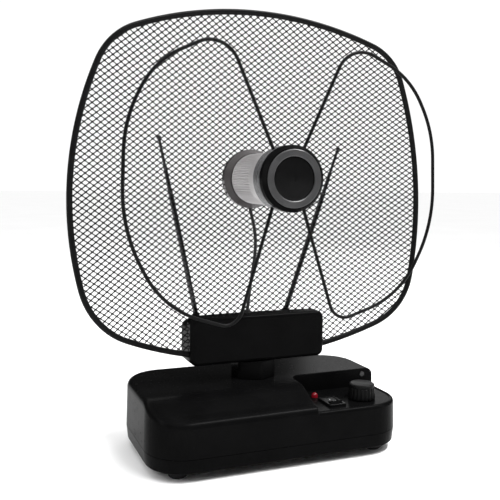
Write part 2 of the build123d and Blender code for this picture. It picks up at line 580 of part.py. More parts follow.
with BuildPart() as reflector_mesh:
    extrude(outline(RIM_W - 1), amount=100, both=True)
    with Locations(DISH_CENTRE):
        Sphere(DISH_R + MESH_T / 2, mode=Mode.INTERSECT)
        Sphere(DISH_R - MESH_T / 2, mode=Mode.SUBTRACT)
    with Locations((0, 0, REFLECTOR_BOTTOM_Z)):
        Box(200, 200, 100, align=(Align.CENTER, Align.CENTER, Align.MAX), mode=Mode.SUBTRACT)
    with Locations(*[(x, HEAD_Y, z) for x, z in HOUSING_SCREWS], (0, HEAD_Y, HUB_Z)):
        Cylinder(2.1, 60, rotation=(90, 0, 0), mode=Mode.SUBTRACT)
save(reflector_mesh, "reflector_mesh")

# ---- hub ----------------------------------------------------------------------------------------------
HUB_AXIS = Axis((0, 0, HUB_Z), (0, 1, 0))
CORE_R = 7.0
BAND_IN_R = 19.6
BEZEL_R = 20.85
DISC_R = 15.85
FEED_ROUTE = [
    (-1.8, 17.0, 191.5), (0.6, 16.6, 181.5), (3.0, 16.0, 170.5), (3.6, 15.4, 158.5), (2.3, 14.8, 146.5),
    (-0.7, 13.4, 132.5), (-3.3, 11.3, 119.5), (-5.3, 9.2, 110.0), (-6.9, 7.6, 102.0),
]
FEED_R = 1.3


def turned(*profile):
    """Revolve a closed profile of (y, radius) points about the hub's axis."""
    with BuildSketch(Plane.YZ) as section:
        with BuildLine():
            Polyline(*[(y, HUB_Z + r) for y, r in profile], close=True)
        make_face()
    revolve(section.sketch, axis=HUB_AXIS)


feed_start = Plane(origin=FEED_ROUTE[0], z_dir=Vector(*FEED_ROUTE[1]) - Vector(*FEED_ROUTE[0]))

with BuildPart() as hub_flange:
    turned(
        (9.2, CORE_R + 0.05), (9.2, 17.3), (11.0, 17.3), (11.0, 20.5), (16.1, 23.8), (24.0, 23.8),
        (24.0, CORE_R + 0.05),
    )
    with Locations(DISH_CENTRE):
        Sphere(DISH_R - DISH_GAP, mode=Mode.INTERSECT)
    with BuildSketch(feed_start):
        Circle(FEED_R + 0.05)
    extrude(amount=8, both=True, mode=Mode.SUBTRACT)
save(hub_flange, "hub_flange")

with BuildPart() as hub_core:
    turned((-49.4, 4.0), (-49.4, CORE_R), (21.2, CORE_R), (21.2, 2.0), (4.0, 2.0), (4.0, 4.0))
save(hub_core, "hub_core")

with BuildPart() as hub_barrel:
    turned((9.1, 17.4), (9.1, HUB_R), (-27.0, HUB_R), (-43.0, 23.0), (-44.4, 23.0), (-44.4, 17.4))
save(hub_barrel, "hub_barrel")

with BuildPart() as hub_rear_cap:
    turned((20.0, 2.2), (20.0, 20.0), (25.0, 20.0), (27.0, 17.0), (27.0, 2.2))
    with Locations(DISH_CENTRE):
        Sphere(DISH_R + DISH_GAP, mode=Mode.SUBTRACT)
save(hub_rear_cap, "hub_rear_cap")

with BuildPart() as hub_rear_screw:
    turned((6.0, 0.0), (6.0, 1.9), (27.05, 1.9), (27.05, 4.0), (28.6, 4.0), (29.4, 3.0), (29.4, 0.0))
    with Locations((0, 29.4, HUB_Z)):
        Box(5.0, 2, 0.9, mode=Mode.SUBTRACT)
        Box(0.9, 2, 5.0, mode=Mode.SUBTRACT)
save(hub_rear_screw, "hub_rear_screw")

with BuildPart() as hub_trim_ring:
    turned((-57.0, BAND_IN_R), (-57.0, 23.7), (-57.7, 23.7), (-57.7, BAND_IN_R))
save(hub_trim_ring, "hub_trim_ring")

# Each loop is one bent wire; its ends pass through the band into two clamping pillars.
LOOP_CORNERS = [(99.2, 76.9), (119.6, 37.0), (121.5, -34.1), (93.2, -88.7)]
LOOP_TOP = (48.6, 101.2)
LOOP_BOTTOM = (39.0, -106.5)
LOOP_RADII = (21.5, 61.2, 91.0, 108.0, 69.0, 13.0)
LOOP_EXITS = ((12.8, 23.0), (12.8, -23.0))
WIRE_IN = 12.0


def wire_end(corner, exit_point):
    """Where the wire stops inside the hub, WIRE_IN beyond the point where it meets the ring."""
    run = Vector(*exit_point) - Vector(*corner)
    return Vector(*exit_point) + run.normalized() * WIRE_IN


UPPER_END = wire_end(LOOP_TOP, LOOP_EXITS[0])
LOWER_END = wire_end(LOOP_BOTTOM, LOOP_EXITS[1])
WIRE_ENDS = [(UPPER_END, LOOP_TOP), (LOWER_END, LOOP_BOTTOM)]


def on_loop(side, x, z):
    """Point of a loop's plane, which leans forward away from the hub."""
    return Vector(side * x, LOOP_Y - LOOP_LEAN * (x - HUB_R), HUB_Z + z)


def drill_wire_holes():
    """Drill the band or the pillars along all four wire ends."""
    for side in (-1, 1):
        for end, corner in WIRE_ENDS:
            start = on_loop(side, end.X, end.Y)
            run = on_loop(side, *corner) - start
            with BuildSketch(Plane(origin=start, z_dir=run)) as hole:
                Circle(LOOP_WIRE_R + 0.05)
            extrude(hole.sketch, amount=30, mode=Mode.SUBTRACT)


with BuildPart() as hub_band:
    turned(
        (-45.0, CORE_R + 0.1), (-45.0, 22.4), (-46.0, HUB_RING_R), (-56.9, HUB_RING_R), (-56.9, BAND_IN_R),
        (-47.6, BAND_IN_R), (-47.6, CORE_R + 0.1),
    )
    drill_wire_holes()
save(hub_band, "hub_band")

with BuildPart() as hub_front_ring:
    turned(
        (-57.8, BAND_IN_R), (-57.8, HUB_RING_R), (-62.3, HUB_RING_R), (-65.0, 21.6), (-65.0, 20.95),
        (-62.7, 20.95), (-62.7, BAND_IN_R),
    )
save(hub_front_ring, "hub_front_ring")

BALUN_Y = -50.0
with BuildPart() as balun_board:
    turned((BALUN_Y, 2.0), (BALUN_Y, 19.3), (BALUN_Y - 1.6, 19.3), (BALUN_Y - 1.6, 2.0))
    with Locations((0, BALUN_Y - 1.6, HUB_Z)):
        Box(8, 4, 6, align=(Align.CENTER, Align.MAX, Align.CENTER))
save(balun_board, "balun_board")

PILLAR_Y = BALUN_Y - 1.65
with BuildPart() as loop_terminals:
    for side in (-1, 1):
        for end, corner in WIRE_ENDS:
            with Locations((side * (end.X + 0.4), PILLAR_Y, HUB_Z + end.Y * 1.06)):
                Cylinder(3.0, 10.6, rotation=(90, 0, 0), align=(Align.CENTER, Align.CENTER, Align.MIN))
    drill_wire_holes()
save(loop_terminals, "loop_terminals")

for side, sign in (("left", -1), ("right", 1)):
    corners = [UPPER_END, Vector(*LOOP_TOP)] + [Vector(*c) for c in LOOP_CORNERS]
    corners += [Vector(*LOOP_BOTTOM), LOWER_END]
    route = [on_loop(sign, c.X, c.Y) for c in corners]
    with BuildPart() as loop_wire:
        with BuildLine() as path:
            FilletPolyline(*route, radius=LOOP_RADII)
        with BuildSketch(Plane(origin=route[0], z_dir=route[1] - route[0])):
            Circle(LOOP_WIRE_R)
        sweep()
    save(loop_wire, f"loop_{side}")

with BuildPart() as hub_bezel:
    turned(
        (-62.8, DISC_R), (-62.8, BEZEL_R), (-65.1, BEZEL_R), (HUB_FRONT_Y, BEZEL_R - 0.5),
        (HUB_FRONT_Y, DISC_R + 0.6), (-65.1, DISC_R),
    )
save(hub_bezel, "hub_bezel")

with BuildPart() as hub_disc:
    turned((-62.8, 0.0), (-62.8, DISC_R - 0.05), (-64.2, DISC_R - 0.05), (-64.5, DISC_R - 1), (-64.9, 0.0))
save(hub_disc, "hub_disc")

# ---- feed cable from the hub's flange down to the housing ---------------------------------------------
feed_points = [Vector(*p) for p in FEED_ROUTE]
feed_radii = []
for before, corner, after in zip(feed_points, feed_points[1:], feed_points[2:]):
    run_in = corner - before
    run_out = after - corner
    half_turn = math.radians(run_in.get_angle(run_out)) / 2
    feed_radii.append(0.45 * min(run_in.length, run_out.length) / math.tan(half_turn))
print("feed cable radii", [round(r, 1) for r in feed_radii])

with BuildPart() as feed_cable:
    with BuildLine() as feed_path:
        FilletPolyline(*feed_points, radius=feed_radii)
    with BuildSketch(feed_start):
        Circle(FEED_R)
    sweep()
save(feed_cable, "feed_cable")
feed_length = sum(edge.length for edge in feed_path.edges())
print("feed cable length", round(feed_length, 1), "volume", round(feed_cable.part.volume, 1))
print("section x length", round(math.pi * FEED_R**2 * feed_length, 1))

gland_plane = Plane(origin=FEED_ROUTE[-1], z_dir=feed_points[-2] - feed_points[-1])
with BuildPart() as cable_gland:
    with Locations((GLAND_AT[0], GLAND_AT[1], HOUSING_Z[1] + 0.02)):
        Cone(3.2, 2.5, 2.2, align=(Align.CENTER, Align.CENTER, Align.MIN))
        Cylinder(2.05, 4.5, align=(Align.CENTER, Align.CENTER, Align.MAX))
    with BuildSketch(gland_plane):
        Circle(FEED_R + 0.05)
    extrude(amount=20, both=True, mode=Mode.SUBTRACT)
save(cable_gland, "cable_gland")

# ---- telescopic rods ----------------------------------------------------------------------------------
KNUCKLE_T = 6.0
STEM = 9.0
TUBE_START = 4.2
MIDDLE_END = ROD_BASE_END + ROD_SHOWN
TIP_END = MIDDLE_END + ROD_SHOWN
SECTION_L = 110.0
BALL_R = 2.0
for side, sign in (("left", -1), ("right", 1)):
    tilt = math.radians(ROD_TILT[side])
    pivot = (sign * ROD_PIVOT_X, ROD_Y, ROD_PIVOT_Z)
    rod = Plane(
        origin=pivot, x_dir=(math.cos(tilt), 0, -math.sin(tilt)), z_dir=(math.sin(tilt), 0, math.cos(tilt))
    )

    with BuildPart() as knuckle:
        with Locations(pivot):
            Cylinder(5.8, KNUCKLE_T, rotation=(90, 0, 0))
        with BuildSketch(rod):
            Circle(2.9)
        extrude(amount=STEM)
        with Locations(pivot):
            Cylinder(1.55, 2 * KNUCKLE_T, rotation=(90, 0, 0), mode=Mode.SUBTRACT)
        with BuildSketch(rod.offset(TUBE_START)):
            Circle(ROD_RADII[0][0] + 0.02)
        extrude(amount=STEM, mode=Mode.SUBTRACT)
    save(knuckle, f"rod_knuckle_{side}")

    with BuildPart() as rod_screw:
        with Locations((pivot[0], ROD_Y + KNUCKLE_T / 2 + 0.05, pivot[2])):
            Cylinder(3.2, 2.2, rotation=(-90, 0, 0), align=(Align.CENTER, Align.CENTER, Align.MIN))
            Cylinder(1.5, 18, rotation=(-90, 0, 0), align=(Align.CENTER, Align.CENTER, Align.MAX))
        with Locations((pivot[0], ROD_Y + KNUCKLE_T / 2 + 2.2, pivot[2])):
            Box(4.0, 2, 0.8, mode=Mode.SUBTRACT)
            Box(0.8, 2, 4.0, mode=Mode.SUBTRACT)
    save(rod_screw, f"rod_screw_{side}")

    spans = (
        ("base", TUBE_START + 0.05, ROD_BASE_END, ROD_RADII[0]),
        ("middle", MIDDLE_END - SECTION_L, MIDDLE_END, ROD_RADII[1]),
        ("tip", TIP_END - SECTION_L, TIP_END, ROD_RADII[2]),
    )
    for section, start, end, (outer, inner) in spans:
        with BuildPart() as tube:
            with BuildSketch(rod.offset(start)):
                Circle(outer)
                if inner:
                    Circle(inner, mode=Mode.SUBTRACT)
            extrude(amount=end - start)
        save(tube, f"rod_{section}_{side}")

    with BuildPart() as tip_ball:
        with Locations(rod.offset(TIP_END + 1.6)):
            Sphere(BALL_R)
        with BuildSketch(rod.offset(TIP_END - 4)):
            Circle(ROD_RADII[2][0] + 0.02)
        extrude(amount=4, mode=Mode.SUBTRACT)
    save(tip_ball, f"tip_ball_{side}")
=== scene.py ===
import json
import math

import bmesh
import bpy
from mathutils import Euler, Matrix, Vector
from mathutils.bvhtree import BVHTree

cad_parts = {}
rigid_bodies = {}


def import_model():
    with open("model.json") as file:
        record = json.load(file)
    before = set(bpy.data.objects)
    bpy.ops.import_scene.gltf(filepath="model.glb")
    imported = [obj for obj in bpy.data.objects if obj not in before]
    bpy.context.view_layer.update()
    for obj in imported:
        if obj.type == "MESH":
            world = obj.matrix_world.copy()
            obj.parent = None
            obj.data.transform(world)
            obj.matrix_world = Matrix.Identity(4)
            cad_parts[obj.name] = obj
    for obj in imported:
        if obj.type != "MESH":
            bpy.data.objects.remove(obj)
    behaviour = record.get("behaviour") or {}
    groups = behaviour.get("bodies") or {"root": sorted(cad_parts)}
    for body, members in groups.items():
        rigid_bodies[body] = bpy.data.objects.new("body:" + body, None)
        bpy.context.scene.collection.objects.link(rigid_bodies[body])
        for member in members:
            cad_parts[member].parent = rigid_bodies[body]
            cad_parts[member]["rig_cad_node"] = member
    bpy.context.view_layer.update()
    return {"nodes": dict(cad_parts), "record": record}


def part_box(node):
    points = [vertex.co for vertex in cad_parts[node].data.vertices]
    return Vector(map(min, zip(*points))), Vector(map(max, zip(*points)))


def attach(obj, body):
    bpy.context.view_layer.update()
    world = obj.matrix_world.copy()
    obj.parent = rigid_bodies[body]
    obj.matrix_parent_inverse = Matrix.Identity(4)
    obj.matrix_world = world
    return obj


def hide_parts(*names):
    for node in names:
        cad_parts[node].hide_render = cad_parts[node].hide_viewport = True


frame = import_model()
nodes = frame["nodes"]
MM = 0.001

# ---- where things are, from the frame ------------------------------------------------------------------
barrel_lo, barrel_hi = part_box("hub_barrel")
knob_lo, knob_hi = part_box("gain_knob")
HUB_Z = (barrel_lo.z + barrel_hi.z) / 2
DISH_R = 495 * MM
DISH_APEX = Vector((0, 22.4 * MM, HUB_Z - 5 * MM))
DISH_CENTRE = DISH_APEX - Vector((0, DISH_R, 0))


# ---- materials -----------------------------------------------------------------------------------------
class Shade:
    """A Principled material under construction, with short ways to add texture nodes in object space."""

    def __init__(self, name, rough, metal=0.0, coat=0.0, ior=1.5, specular=0.5):
        self.mat = bpy.data.materials.new(name)
        self.mat.use_nodes = True
        self.tree = self.mat.node_tree
        self.bsdf = self.tree.nodes["Principled BSDF"]
        self.bsdf.inputs["Roughness"].default_value = rough
        self.bsdf.inputs["Metallic"].default_value = metal
        self.bsdf.inputs["Coat Weight"].default_value = coat
        self.bsdf.inputs["IOR"].default_value = ior
        self.bsdf.inputs["Specular IOR Level"].default_value = specular
        self.coords = self.tree.nodes.new("ShaderNodeTexCoord")

    def noise(self, scale, detail=3.0, rough=0.55, stretch=(1, 1, 1)):
        mapping = self.tree.nodes.new("ShaderNodeMapping")
        mapping.inputs["Scale"].default_value = stretch
        self.tree.links.new(self.coords.outputs["Object"], mapping.inputs["Vector"])
        texture = self.tree.nodes.new("ShaderNodeTexNoise")
        texture.inputs["Scale"].default_value = scale
        texture.inputs["Detail"].default_value = detail
        texture.inputs["Roughness"].default_value = rough
        self.tree.links.new(mapping.outputs["Vector"], texture.inputs["Vector"])
        return texture.outputs["Fac"]

    def ramp(self, fac, stops):
        ramp = self.tree.nodes.new("ShaderNodeValToRGB")
        elements = ramp.color_ramp.elements
        while len(elements) < len(stops):
            elements.new(0.5)
        for element, (position, value) in zip(elements, stops):
            element.position = position
            colour = value if hasattr(value, "__len__") else (value, value, value)
            element.color = (*colour, 1)
        self.tree.links.new(fac, ramp.inputs["Fac"])
        return ramp.outputs["Color"]

    def colour(self, low, high, scale, stretch=(1, 1, 1)):
        """Base colour that drifts between two close colours."""
        out = self.ramp(self.noise(scale, stretch=stretch), [(0.35, low), (0.65, high)])
        self.tree.links.new(out, self.bsdf.inputs["Base Color"])
        return self

    def rough(self, low, high, scale, stretch=(1, 1, 1)):
        """Roughness that drifts between two values."""
        out = self.ramp(self.noise(scale, stretch=stretch), [(0.3, low), (0.7, high)])
        self.tree.links.new(out, self.bsdf.inputs["Roughness"])
        return self

    def bump(self, scale, distance, strength=0.5, detail=2.0, stretch=(1, 1, 1)):
        """Fine surface grain, distance in metres."""
        node = self.tree.nodes.new("ShaderNodeBump")
        node.inputs["Strength"].default_value = strength
        node.inputs["Distance"].default_value = distance
        self.tree.links.new(self.noise(scale, detail, stretch=stretch), node.inputs["Height"])
        self.tree.links.new(node.outputs["Normal"], self.bsdf.inputs["Normal"])
        return self


def grey(value):
    return (value, value, value * 1.03)


def make_materials():
    made = {}
    made["body_plastic"] = (
        Shade("body_plastic", 0.26, ior=1.05, specular=1.0).colour(grey(0.0024), grey(0.0034), 40)
        .rough(0.22, 0.28, 260).bump(1500, 0.00002, 0.15)
    )
    made["knob_plastic"] = (
        Shade("knob_plastic", 0.34, ior=1.1, specular=1.0).colour(grey(0.0035), grey(0.005), 60)
        .rough(0.32, 0.42, 300).bump(1800, 0.00003, 0.3)
    )
    made["switch_plastic"] = (
        Shade("switch_plastic", 0.22, ior=1.1, specular=1.0).colour(grey(0.004), grey(0.0055), 80)
        .rough(0.2, 0.28, 300)
    )
    made["foot_rubber"] = (
        Shade("foot_rubber", 0.75, specular=0.2).colour(grey(0.006), grey(0.009), 200)
        .rough(0.68, 0.85, 300).bump(900, 0.0001, 0.5)
    )
    made["frame_paint"] = (
        Shade("frame_paint", 0.36, ior=1.16, specular=0.6).colour(grey(0.0032), grey(0.0048), 90)
        .rough(0.33, 0.44, 260).bump(1300, 0.00005, 0.35)
    )
    made["mesh_paint"] = (
        Shade("mesh_paint", 0.5, ior=1.25, specular=0.3).colour(grey(0.0025), grey(0.004), 150)
        .rough(0.42, 0.58, 400).bump(1600, 0.00004, 0.4)
    )
    made["flange_plastic"] = (
        Shade("flange_plastic", 0.2, coat=0.2).colour((0.046, 0.042, 0.043), (0.056, 0.051, 0.052), 60)
        .rough(0.16, 0.26, 180)
    )
    made["silver_barrel"] = (
        Shade("silver_barrel", 0.34, metal=0.4)
        .colour((0.46, 0.445, 0.45), (0.56, 0.545, 0.55), 120, (1, 0.1, 1))
        .rough(0.28, 0.4, 240, (1, 0.08, 1)).bump(900, 0.00004, 0.3, stretch=(1, 0.05, 1))
    )
    made["band_metal"] = (
        Shade("band_metal", 0.3, metal=0.45).colour(grey(0.13), grey(0.165), 90, (1, 6, 1))
        .rough(0.24, 0.34, 220, (1, 8, 1))
    )
    made["trim_metal"] = (
        Shade("trim_metal", 0.25, metal=1.0).colour(grey(0.42), grey(0.5), 120).rough(0.2, 0.32, 200)
    )
    made["bezel_grey"] = (
        Shade("bezel_grey", 0.36, metal=0.3).colour(grey(0.034), grey(0.045), 90)
        .rough(0.32, 0.42, 240).bump(1500, 0.00003, 0.3)
    )
    made["gloss_black"] = (
        Shade("gloss_black", 0.2, ior=1.14, specular=1.0).colour(grey(0.0038), grey(0.005), 50)
        .rough(0.16, 0.24, 120)
    )
    made["cable_rubber"] = (
        Shade("cable_rubber", 0.5, specular=0.25).colour(grey(0.006), grey(0.009), 200)
        .rough(0.45, 0.6, 300).bump(1200, 0.00005, 0.4)
    )
    made["rod_chrome"] = (
        Shade("rod_chrome", 0.16, metal=1.0).colour(grey(0.05), grey(0.075), 120, (1, 1, 0.1))
        .rough(0.12, 0.2, 200, (1, 1, 0.1))
    )
    made["screw_steel"] = (
        Shade("screw_steel", 0.3, metal=1.0).colour(grey(0.45), grey(0.58), 400).rough(0.24, 0.4, 600)
    )
    made["black_screw"] = (
        Shade("black_screw", 0.35, metal=0.6).colour(grey(0.02), grey(0.035), 500).rough(0.3, 0.45, 600)
    )
    made["nickel_plate"] = (
        Shade("nickel_plate", 0.2, metal=1.0).colour((0.6, 0.57, 0.52), (0.68, 0.65, 0.6), 200)
        .rough(0.15, 0.3, 400)
    )
    made["tin_plate"] = (
        Shade("tin_plate", 0.35, metal=1.0).colour(grey(0.5), grey(0.62), 150).rough(0.28, 0.45, 200)
    )
    made["mark_white"] = (
        Shade("mark_white", 0.5).colour(grey(0.42), grey(0.5), 300).rough(0.45, 0.6, 400)
    )
    made["brass"] = (
        Shade("brass", 0.28, metal=1.0).colour((0.6, 0.42, 0.18), (0.7, 0.52, 0.24), 200)
        .rough(0.22, 0.36, 300)
    )
    made["board"] = (
        Shade("board", 0.35).colour((0.01, 0.09, 0.035), (0.02, 0.16, 0.06), 220).rough(0.3, 0.45, 300)
    )
    lens = Shade("red_lens", 0.2, specular=0.4).colour((0.1, 0.002, 0.006), (0.16, 0.004, 0.01), 150)
    lens.bsdf.inputs["Emission Color"].default_value = (1.0, 0.03, 0.06, 1)
    lens.bsdf.inputs["Emission Strength"].default_value = 0.05
    made["red_lens"] = lens
    return {name: shade.mat for name, shade in made.items()}


materials = make_materials()
slot_of = {entry["node"]: entry["material_slot"] for entry in frame["record"]["subparts"]}


def paint(piece, slot):
    """Give a piece its slot's material."""
    piece.data.materials.clear()
    piece.data.materials.append(materials[slot])


for node_name, node in nodes.items():
    paint(node, slot_of[node_name])


# ---- mesh helpers --------------------------------------------------------------------------------------
def mesh_piece(name, verts, faces, slot, body, smooth=True, sharp_deg=35.0):
    """A new mesh object in the row frame, painted and riding on a body."""
    mesh = bpy.data.meshes.new(name)
    mesh.from_pydata([tuple(v) for v in verts], [], faces)
    mesh.validate()
    bm = bmesh.new()
    bm.from_mesh(mesh)
    bmesh.ops.recalc_face_normals(bm, faces=bm.faces)
    bm.to_mesh(mesh)
    bm.free()
    piece = bpy.data.objects.new(name, mesh)
    bpy.context.scene.collection.objects.link(piece)
    if smooth:
        for polygon in mesh.polygons:
            polygon.use_smooth = True
        mesh.set_sharp_from_angle(angle=math.radians(sharp_deg))
    paint(piece, slot)
    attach(piece, body)
    return piece


def lathe(name, profile, origin, axis, slot, body, steps=96, wave=None, sharp_deg=35.0):
    """Turn a closed profile of (along, radius) about an axis; wave(angle, along, radius) adds to it."""
    axis = Vector(axis).normalized()
    side = axis.orthogonal().normalized()
    up = axis.cross(side)
    verts, faces = [], []
    count = len(profile)
    for step in range(steps):
        angle = 2 * math.pi * step / steps
        out = side * math.cos(angle) + up * math.sin(angle)
        for along, radius in profile:
            if wave:
                radius += wave(angle, along, radius)
            verts.append(Vector(origin) + axis * along + out * radius)
    for step in range(steps):
        following = (step + 1) % steps
        for i in range(count):
            j = (i + 1) % count
            faces.append((step * count + i, step * count + j, following * count + j, following * count + i))
    return mesh_piece(name, verts, faces, slot, body, sharp_deg=sharp_deg)


# ---- camera, floor and light ---------------------------------------------------------------------------
CAMERA_AT = Vector((-0.21576, -0.52036, 0.20912))
CAMERA_AZIMUTH = math.radians(-21.79)
CAMERA_ELEVATION = math.radians(2.99)
CAMERA_ROLL = math.radians(0.50)
CAMERA_LENS = 51.35
SENSOR_W = 36.0
CAMERA_SHIFT_Y = -0.06
FLOOR_SIZE = 30
BACKGROUND_SEEN = 1.05
BACKGROUND_FILL = 0.05
SUN_ENERGY = 3.1
SUN_ANGLE = math.radians(110)
SUN_LEAN = math.radians(-6)
# Each soft light: name, place, point it faces, width, watts, height.
SOFT_LIGHTS = (
    ("left_strip", (-1.1, -0.35, 0.5), (0, 0, 0.15), 0.22, 4, 1.0),
    ("right_back_softbox", (1.1, 1.2, 0.66), (0.05, 0, 0.05), 0.9, 2.6, 0.6),
    ("right_strip", (1.0, -0.5, 0.5), (0, 0, 0.12), 0.12, 2.5, 1.0),
    ("top_strip", (0.33, -0.33, 0.93), (0, 0, 0.05), 0.8, 12, 0.09),
)


def make_camera():
    data = bpy.data.cameras.new("camera")
    data.lens = CAMERA_LENS
    data.sensor_width = SENSOR_W
    data.shift_y = CAMERA_SHIFT_Y
    data.clip_start = 0.01
    camera = bpy.data.objects.new("camera", data)
    bpy.context.scene.collection.objects.link(camera)
    back = Vector((
        math.sin(CAMERA_AZIMUTH) * math.cos(CAMERA_ELEVATION),
        -math.cos(CAMERA_AZIMUTH) * math.cos(CAMERA_ELEVATION),
        math.sin(CAMERA_ELEVATION),
    ))
    right = Vector((math.cos(CAMERA_AZIMUTH), math.sin(CAMERA_AZIMUTH), 0))
    up = back.cross(right)
    turned_right = right * math.cos(CAMERA_ROLL) + up * math.sin(CAMERA_ROLL)
    turned_up = up * math.cos(CAMERA_ROLL) - right * math.sin(CAMERA_ROLL)
    turn = Matrix((turned_right, turned_up, back)).transposed().to_4x4()
    camera.matrix_world = Matrix.Translation(CAMERA_AT) @ turn
    bpy.context.scene.camera = camera


def area_light(name, at, aim, width, watts, height):
    data = bpy.data.lights.new(name, "AREA")
    data.energy = watts
    data.shape = "RECTANGLE"
    data.size = width
    data.size_y = height
    light = bpy.data.objects.new(name, data)
    light.location = at
    light.rotation_euler = (Vector(aim) - Vector(at)).to_track_quat("-Z", "Y").to_euler()
    light.visible_camera = False
    bpy.context.scene.collection.objects.link(light)


def make_stage():
    bpy.ops.mesh.primitive_plane_add(size=FLOOR_SIZE, location=(0, 0, 0))
    floor = bpy.context.active_object
    floor.name = "floor"
    shade = Shade("floor_white", 0.6).colour((0.93, 0.93, 0.93), (0.95, 0.95, 0.95), 3)
    shade.bsdf.inputs["Specular IOR Level"].default_value = 0.0
    floor.data.materials.append(shade.mat)
    world = bpy.data.worlds.new("studio")
    world.use_nodes = True
    tree = world.node_tree
    seen = tree.nodes["Background"]
    seen.inputs["Color"].default_value = (1, 1, 1, 1)
    seen.inputs["Strength"].default_value = BACKGROUND_SEEN
    fill = tree.nodes.new("ShaderNodeBackground")
    fill.inputs["Color"].default_value = (1, 1, 1, 1)
    fill.inputs["Strength"].default_value = BACKGROUND_FILL
    choose = tree.nodes.new("ShaderNodeMixShader")
    path = tree.nodes.new("ShaderNodeLightPath")
    tree.links.new(path.outputs["Is Camera Ray"], choose.inputs["Fac"])
    tree.links.new(fill.outputs["Background"], choose.inputs[1])
    tree.links.new(seen.outputs["Background"], choose.inputs[2])
    tree.links.new(choose.outputs["Shader"], tree.nodes["World Output"].inputs["Surface"])
    bpy.context.scene.world = world
    bpy.context.scene.view_settings.view_transform = "Standard"
    sun = bpy.data.lights.new("overhead", "SUN")
    sun.energy = SUN_ENERGY
    sun.angle = SUN_ANGLE
    overhead = bpy.data.objects.new("overhead", sun)
    overhead.rotation_euler = Euler((SUN_LEAN, SUN_LEAN, 0))
    bpy.context.scene.collection.objects.link(overhead)
    for light in SOFT_LIGHTS:
        area_light(*light)


make_camera()
make_stage()


# ---- feed cable ----------------------------------------------------------------------------------------
FEED_D = 2.6 * MM
FEED_ROUTE = [
    (-1.8, 17.0, 191.5), (0.6, 16.6, 181.5), (3.0, 16.0, 170.5), (3.6, 15.4, 158.5), (2.3, 14.8, 146.5),
    (-0.7, 13.4, 132.5), (-3.3, 11.3, 119.5), (-5.3, 9.2, 110.0), (-6.9, 7.6, 102.0),
]


def make_feed_cable():
    data = bpy.data.curves.new("feed_cable_line", "CURVE")
    data.dimensions = "3D"
    data.bevel_depth = FEED_D / 2
    data.bevel_resolution = 5
    data.resolution_u = 16
    data.use_fill_caps = True
    spline = data.splines.new("NURBS")
    spline.points.add(len(FEED_ROUTE) - 1)
    for point, place in zip(spline.points, FEED_ROUTE):
        point.co = (*[c * MM for c in place], 1)
    spline.order_u = 3
    spline.use_endpoint_u = True
    cable = bpy.data.objects.new("feed_cable_line", data)
    bpy.context.scene.collection.objects.link(cable)
    cable.data.materials.append(materials["cable_rubber"])
    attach(cable, "head")
    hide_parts("feed_cable")


make_feed_cable()

# ---- reflector mesh ------------------------------------------------------------------------------------
# The outline is four shallow arcs about points given from the hub's axis, with rounded corners.
TOP_ARC = (Vector((0, -0.1443)), 0.276)
BOTTOM_ARC = (Vector((0, 0.1363)), 0.280)
SIDE_ARCS = {-1: (Vector((0.1231, -0.018)), 0.272), 1: (Vector((-0.1231, -0.018)), 0.272)}
CORNER_R = {1: 0.050, -1: 0.058}
RIM_W = 4.4 * MM
RIM_T = 3.6 * MM
CELL_W = 6.27 * MM
CELL_H = 4.60 * MM
CELL_TILT = math.radians(1.7)
MESH_FLOOR = 73 * MM - HUB_Z
MESH_REACH = 60
MESH_LIMIT = 0.16
MESH_TUCK = 1.2 * MM
STRAND_WIDTHS = {1: (0.60 * MM, 0.40 * MM), -1: (0.56 * MM, 0.34 * MM)}
STRAND_DEPTH = 0.34 * MM


def meet(first, second, toward):
    """The crossing of two circles that lies nearest to a point."""
    (c1, r1), (c2, r2) = first, second
    d = c2 - c1
    along = (d.length_squared + r1 * r1 - r2 * r2) / (2 * d.length)
    off = math.sqrt(max(r1 * r1 - along * along, 0))
    unit = d.normalized()
    middle = c1 + unit * along
    normal = Vector((-unit.y, unit.x))
    return min((middle + normal * off, middle - normal * off), key=lambda p: (p - toward).length)


def corner_discs():
    """For each quadrant, the rounding circle and the tangent points where it starts and ends."""
    found = {}
    for sx in (-1, 1):
        for sz, arc in ((1, TOP_ARC), (-1, BOTTOM_ARC)):
            r = CORNER_R[sz]
            side = SIDE_ARCS[sx]
            centre = meet((arc[0], arc[1] - r), (side[0], side[1] - r), Vector((sx * 0.1, sz * 0.1)))
            on_arc = arc[0] + (centre - arc[0]).normalized() * arc[1]
            on_side = side[0] + (centre - side[0]).normalized() * side[1]
            found[sx, sz] = (centre, r, on_arc, on_side)
    return found


CORNERS = corner_discs()


def exit_distance(direction, centre, radius):
    """How far a ray from the hub's axis runs before it leaves a circle around it."""
    along = direction.dot(centre)
    root = along * along - centre.length_squared + radius * radius
    return along + math.sqrt(root) if root > 0 else 0.0


def edge_distance(x, z):
    """Distance from the hub's axis to the outline, in the direction of (x, z)."""
    direction = Vector((x, z)).normalized()
    sx, sz = (1 if x >= 0 else -1), (1 if z >= 0 else -1)
    centre, r, on_arc, on_side = CORNERS[sx, sz]
    angle = math.atan2(abs(z), abs(x))
    if math.atan2(abs(on_side.y), abs(on_side.x)) < angle < math.atan2(abs(on_arc.y), abs(on_arc.x)):
        return exit_distance(direction, centre, r)
    arcs = (TOP_ARC, BOTTOM_ARC, SIDE_ARCS[-1], SIDE_ARCS[1])
    return min(exit_distance(direction, *arc) for arc in arcs)


def inside(x, z, inset):
    return z > MESH_FLOOR and math.hypot(x, z) < edge_distance(x, z) - inset


def on_dish(x, z, lift=0.0):
    """Point of the dish's surface at x and height z from the hub's axis, lifted towards the front."""
    down = z + HUB_Z - DISH_CENTRE.z
    y = DISH_CENTRE.y + math.sqrt(DISH_R**2 - x * x - down * down)
    point = Vector((x, y, z + HUB_Z))
    return point + (DISH_CENTRE - point).normalized() * lift


